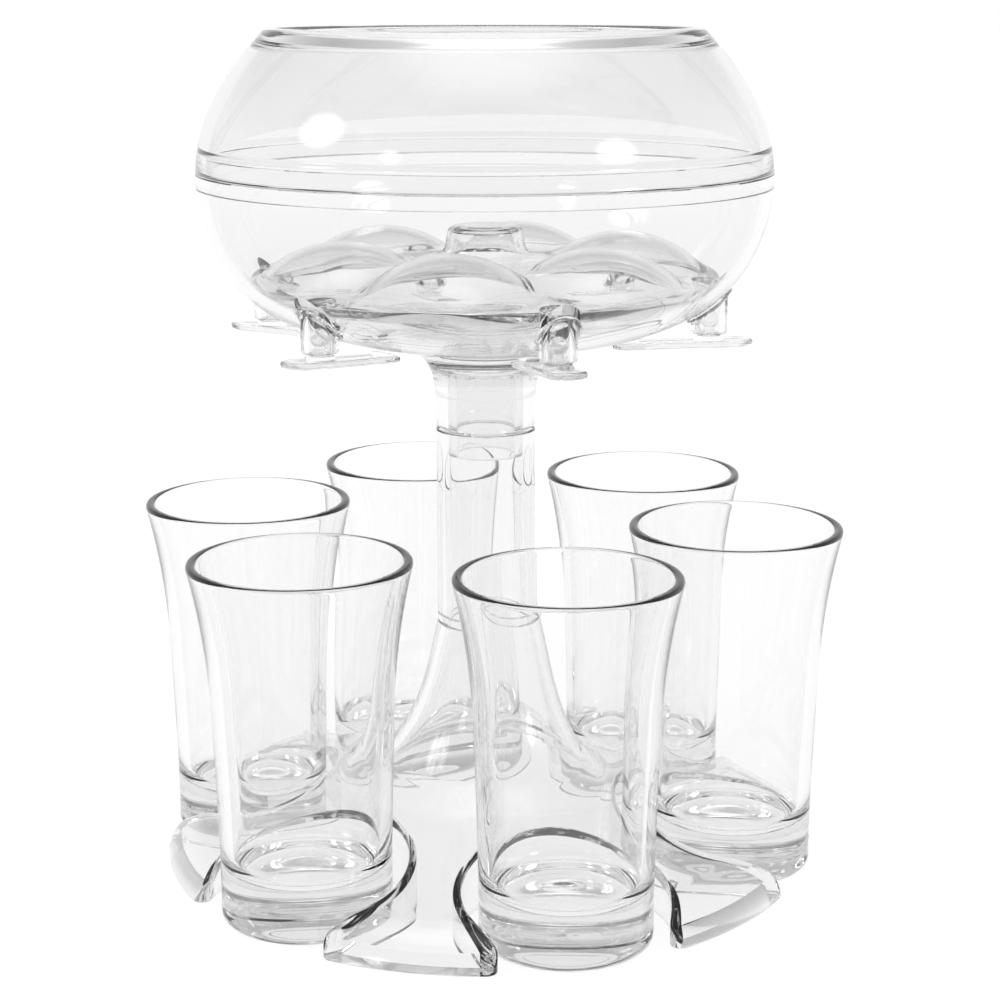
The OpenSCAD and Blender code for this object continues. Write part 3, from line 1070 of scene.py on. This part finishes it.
@dataclass
class Stopper:
    """Silicone stopper: a strap with round ends, a ball plug and an anchor button."""

    bowl: Bowl
    spout_low_z: float
    length: float = 29.5
    width: float = 8.0
    thick: float = 1.4
    below: float = 1.3
    tilt: float = math.radians(3.7)
    tab: float = 9.0
    plug_r: float = 1.9
    plug_h: float = 3.1
    button_r: float = 2.4
    soft_gap: float = 0.3
    end_steps: int = 25

    def strap(self) -> bpy.types.Mesh:
        """Strap: round-ended outlines that shrink towards its middle line, with rolled edges.

        Returns:
            A closed mesh.
        """
        half, t = self.width / 2, self.thick
        out_l, in_l = self.tab - half, self.length - self.tab - half
        rolled = np.array([half, half * 0.5, 0.9, 0.55, 0.3, 0.12, 0.02, 0])
        inset = np.r_[rolled, rolled[::-1]]
        z = -t * np.array([0.06, 0.03, 0, 0.02, 0.08, 0.17, 0.3, 0.42,
                           0.58, 0.7, 0.83, 0.92, 0.98, 1, 0.97, 0.94])
        turn = np.linspace(0, math.pi, self.end_steps)
        x_way, y_way = np.r_[np.cos(turn), -np.cos(turn)], np.r_[np.sin(turn), -np.sin(turn)]
        middle = np.r_[np.full_like(turn, in_l), np.full_like(turn, -out_l)]
        reach = (half - inset)[:, None]
        x, y = reach * x_way, middle + reach * y_way
        z = z[:, None] + 0 * x
        level, fall = math.cos(self.tilt), math.sin(self.tilt)
        y, z = y * level + z * fall, z * level - y * fall
        grid = np.stack([x, y - self.bowl.spout_ring_r, z + self.spout_low_z - self.below], axis=-1)
        return outwards(Skin().grid(grid, close_columns=True).mesh("strap"))

    def plug(self) -> bpy.types.Mesh:
        """Seat under the spout, neck and ball, turned about the axis of the spout.

        Returns:
            A closed mesh.
        """
        neck = 0.58 * self.plug_r
        start = math.asin(neck / self.plug_r)
        a = np.linspace(start, math.pi, 20)
        ball = np.c_[self.plug_r * np.sin(a), self.plug_h - self.plug_r * np.cos(a)]
        foot = -self.below - self.thick / 2
        seat = cubic((3.4, foot), (3.0, -self.below + 0.4), (2.9, -self.soft_gap), (2.4, -self.soft_gap), 8)
        outline = chain([[0, foot]], seat, [[1.75, -self.soft_gap], [neck + 0.1, 0.25], [neck, 0.7]], ball)
        outline[-1, 0] = 0
        return turned_mesh("plug", outline + [0, self.spout_low_z], 64, (0, -self.bowl.spout_ring_r))

    def button(self) -> bpy.types.Mesh:
        """Anchor button, square to the underside of the bowl.

        Returns:
            A closed mesh.
        """
        at = self.bowl.spout_ring_r - (self.length - self.tab - self.width / 2) - 0.6
        low, high = (float(self.bowl.under(np.array(r))) for r in (at, at + 1))
        top, slope = low - self.soft_gap, math.atan(high - low)
        r = self.button_r
        outline = np.array([[0, 0], [r - 0.5, 0], [r - 0.15, -0.12], [r, -0.45], [r, -1.2], [0, -1.2]])
        made = turned_mesh("button", outline, 64)
        made.transform(Matrix.Translation(Vector((0, -at, top)) * MM) @ Matrix.Rotation(-slope, 4, "X"))
        return made

    def mesh(self) -> bpy.types.Mesh:
        """Strap, plug and button as one moulding, in the place of number 1."""
        return combined(combined(self.strap(), [self.plug()], "UNION"), [self.button()], "UNION")


# ---------------------------------------------------------------- glasses


@dataclass
class ShotGlass:
    """Flared shot glass with a heavy bottom, a punt and a rolled rim."""

    height: float
    rim_r: float
    waist_r: float = 17.9
    foot_r: float = 17.6
    rim_wall: float = 2.0
    wall: float = 2.3
    bottom: float = 10.0
    punt: float = 1.2
    ring_r: float = GLASS_RING_R

    def mesh(self) -> bpy.types.Mesh:
        """Builds glass number 1 from the curves of its outside, rim, inside and hollow foot.

        Returns:
            A closed mesh.
        """
        h, knee, mid = self.height, 0.16 * self.height, 0.62 * self.height
        rim_mid = self.rim_r - self.rim_wall / 2
        outside = chain(
            cubic((self.foot_r - 1.4, 0), (self.foot_r - 0.5, 0), (self.foot_r, 0.5), (self.foot_r, 1.6), 8),
            cubic((self.foot_r, 1.6), (self.foot_r - 0.2, knee), (self.waist_r - 0.1, 0.35 * h),
                  (self.waist_r + 0.6, mid), 30),
            cubic((self.waist_r + 0.6, mid), (self.waist_r + 1.2, 0.76 * h), (self.rim_r - 1.9, 0.88 * h),
                  (self.rim_r, h - 0.9), 30))
        rim = cubic((self.rim_r, h - 0.9), (self.rim_r + 0.02, h + 0.02), (rim_mid + 0.4, h), (rim_mid, h), 8)
        in_r = self.rim_r - self.rim_wall
        lip = (in_r - 0.05, h - 1.1)
        roll = cubic((rim_mid, h), (rim_mid - 0.5, h), (in_r, h), lip, 8)
        w = self.waist_r - self.wall
        inside = chain(
            cubic(lip, (self.rim_r - self.wall - 1.7, 0.88 * h), (w + 1, 0.76 * h), (w + 0.4, mid), 30),
            cubic((w + 0.4, mid), (w - 0.3, 0.35 * h), (w - 0.5, 0.3 * h), (w - 0.6, self.bottom + 5), 20),
            cubic((w - 0.6, self.bottom + 5), (w - 0.8, self.bottom + 1.4), (w - 2.4, self.bottom),
                  (w - 6, self.bottom), 14),
            [[0, self.bottom]])
        f = self.foot_r
        under = cubic((0, self.punt), (f * 0.4, self.punt), (f - 6.4, 0), (f - 3.2, 0), 24)
        return turned_mesh("shot_glass", chain(outside, rim, roll, inside, under), 160, (0, -self.ring_r))


# ---------------------------------------------------------------- studio


@dataclass(frozen=True)
class Studio:
    """Pale floor, soft sky and the camera of the photograph, all sizes in mm and degrees."""

    distance: float = 438.06
    height: float = 183.0
    azimuth: float = -17.0
    pitch: float = 13.57
    yaw: float = 0.40
    roll: float = -0.06
    focal_px: float = 2084.3
    frame_px: float = 1000.0
    floor_size: float = 9000.0
    sensor_mm: float = 36.0
    # angle above the horizon, angle from -Y towards +X, angle from middle to edge, power
    lamps: tuple = ((31.7, -93.6, 10.5, 6.0), (24.2, -56.0, 5.0, 4.0),
                    (24.2, 38.6, 9.5, 6.0), (88.0, 0.0, 30.0, 1.0))
    # height of the way seen, from level to straight up, and its grey
    sky_greys: tuple = ((0.0, 1.0), (0.2, 1.0), (0.45, 0.66), (0.7, 0.5), (0.87, 0.66), (1.0, 0.95))

    def camera(self) -> None:
        """Puts the camera where the photograph was taken from."""
        data = bpy.data.cameras.new("camera")
        data.sensor_width = self.sensor_mm
        data.lens = self.sensor_mm * self.focal_px / self.frame_px
        data.clip_start, data.clip_end = 0.01, 50
        made = linked("camera", data)
        turn = math.radians(self.azimuth)
        yaw, pitch = turn - math.radians(self.yaw), math.radians(90 - self.pitch)
        place = Vector((self.distance * math.sin(turn), -self.distance * math.cos(turn), self.height)) * MM
        aim = Matrix.Rotation(yaw, 4, "Z") @ Matrix.Rotation(pitch, 4, "X")
        roll = Matrix.Rotation(math.radians(self.roll), 4, "Z")
        made.matrix_world = Matrix.Translation(place) @ aim @ roll
        bpy.context.scene.camera = made

    def floor(self) -> None:
        """A wide pale floor that glows a little, as a light table does."""
        half = self.floor_size / 2
        corners = np.array([(-half, -half), (half, -half), (half, half), (-half, half)])
        mesh = bpy.data.meshes.new("floor")
        mesh.from_pydata([(x * MM, y * MM, -0.02 * MM) for x, y in corners], [], [(0, 1, 2, 3)])
        made = linked("floor", mesh)
        pale = bpy.data.materials.new("pale_floor")
        pale.use_nodes = True
        set_inputs(pale.node_tree.nodes["Principled BSDF"], Base_Color=(0.16, 0.16, 0.16, 1),
                   Roughness=0.7, Specular_IOR_Level=0.1, Emission_Color=(1, 1, 1, 1), Emission_Strength=0.9)
        mesh.materials.append(pale)

    def sky(self) -> None:
        """World light: white along the horizon, grey higher up, with soft round lamps in it."""
        world = bpy.data.worlds.new("sky")
        bpy.context.scene.world = world
        world.use_nodes = True
        nodes, links = world.node_tree.nodes, world.node_tree.links
        way = nodes.new("ShaderNodeTexCoord")
        split = nodes.new("ShaderNodeSeparateXYZ")
        links.new(way.outputs["Generated"], split.inputs[0])
        ramp = nodes.new("ShaderNodeValToRGB")
        for place, _ in self.sky_greys[1:-1]:
            ramp.color_ramp.elements.new(place)
        for element, (place, grey) in zip(ramp.color_ramp.elements, self.sky_greys):
            element.position = place
            element.color = (grey, grey, grey, 1)
        links.new(split.outputs["Z"], ramp.inputs["Fac"])
        total = ramp.outputs["Color"]
        for lamp in self.lamps:
            total = self.lamp(world.node_tree, way.outputs["Generated"], total, *lamp)
        links.new(total, nodes["Background"].inputs["Color"])

    @staticmethod
    def lamp(tree: bpy.types.NodeTree, way: bpy.types.NodeSocket, total: bpy.types.NodeSocket,
             rise: float, turn: float, radius: float, power: float) -> bpy.types.NodeSocket:
        """Adds a round soft lamp to the sky.

        Its light grows from nothing at the radius to its whole power at a third of it, by the
        angle between the way seen and the lamp.

        Args:
            tree: Nodes of the world.
            way: Socket that gives the way seen.
            total: Socket that gives the sky so far.
            rise: Angle above the horizon, in degrees.
            turn: Angle from -Y towards +X, in degrees.
            radius: Angle from its middle to its edge, in degrees.
            power: Light that it adds in its middle.

        Returns:
            Socket that gives the sky with the lamp.
        """
        up, side = math.radians(rise), math.radians(turn)
        near = tree.nodes.new("ShaderNodeVectorMath")
        near.operation = "DOT_PRODUCT"
        near.inputs[1].default_value = (math.cos(up) * math.sin(side), -math.cos(up) * math.cos(side),
                                        math.sin(up))
        tree.links.new(way, near.inputs[0])
        glow = tree.nodes.new("ShaderNodeMapRange")
        glow.interpolation_type = "SMOOTHSTEP"
        edge, full = math.cos(math.radians(radius)), math.cos(math.radians(radius / 3))
        set_inputs(glow, From_Min=edge, From_Max=full, To_Max=power)
        tree.links.new(near.outputs["Value"], glow.inputs["Value"])
        both = tree.nodes.new("ShaderNodeVectorMath")
        both.operation = "ADD"
        tree.links.new(total, both.inputs[0])
        tree.links.new(glow.outputs["Result"], both.inputs[1])
        return both.outputs["Vector"]

    def build(self) -> None:
        """Sets up camera, floor and sky, and the light paths that clear walls need."""
        self.camera()
        self.floor()
        self.sky()
        scene = bpy.context.scene
        scene.view_settings.view_transform = "Standard"
        scene.cycles.max_bounces = 40
        scene.cycles.transmission_bounces = 40
        scene.cycles.glossy_bounces = 12
        scene.cycles.transparent_max_bounces = 32


# ---------------------------------------------------------------- assembly


def heights(node: str) -> tuple[float, float]:
    """Lowest and highest height of a node, in mm."""
    low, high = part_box(node)
    return low[2] / MM, high[2] / MM


def radius_of(node: str) -> float:
    """Half the width of a node across X, in mm."""
    low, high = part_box(node)
    return (high[0] / MM - low[0] / MM) / 2


def main() -> None:
    """Builds every piece around the frame and reports it."""
    logging.basicConfig(level=logging.INFO, format="%(name)s: %(message)s")
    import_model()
    Studio().build()

    # the second grey of each clear finish is painted shade where its faces are seen edge-on
    plastic = ClearFinish("clear_acrylic", 0.965, 0.86, depth_density=16).material()
    thin_plastic = ClearFinish("clear_acrylic_thin", 0.945, 0.88, depth_density=9).material()
    glass = ClearFinish("clear_pressed_glass", 0.976, 0.8, depth_density=8, ior=1.5, ripple_size=0.018,
                        ripple_depth=0.03 * MM).material()
    silicone = SiliconeFinish("milky_silicone").material()

    column_r, (column_low, column_high) = radius_of("column"), heights("column")
    spout_low, spout_high = heights("spout_1")
    _, mouth_z = heights("bowl_upper")
    _, glass_h = heights("glass_1")

    base = PetalBase(rim_r=radius_of("base"), column_r=column_r).mesh()
    put(piece("base_moulding", base), "stand", "base", plastic)
    column = Column(radius=column_r, bottom=column_low, top=column_high)
    put(piece("column_tube", column.tube()), "stand", "column", plastic)
    put(piece("sleeve_tube", column.sleeve()), "pivot", "connector_sleeve", thin_plastic)

    bowl = Bowl(radius=radius_of("bowl_upper"), mouth_z=mouth_z, column_top=column_high)
    put(piece("bowl_lower_shell", bowl.lower()), "bowl", "bowl_lower", thin_plastic)
    put(piece("bowl_upper_shell", bowl.upper()), "bowl", "bowl_upper", thin_plastic)
    divider = FlowDivider(bowl).mesh()
    put(piece("divider_moulding", divider), "bowl", "flow_divider", thin_plastic)

    spout = Spout(bowl, low_z=spout_low, high_z=spout_high).mesh()
    stopper = Stopper(bowl, spout_low_z=spout_low).mesh()
    tumbler = ShotGlass(height=glass_h, rim_r=radius_of("glass_1")).mesh()
    for k in range(1, COPIES + 1):
        put(piece(f"spout_tube_{k}", turned_copy(spout, k)), "bowl", f"spout_{k}", thin_plastic)
        put(piece(f"stopper_moulding_{k}", turned_copy(stopper, k)), f"stopper_{k}", f"stopper_{k}",
            silicone)
        put(piece(f"shot_glass_{k}", turned_copy(tumbler, k)), f"glass_{k}", f"glass_{k}", glass)


if __name__ == "__main__":
    main()
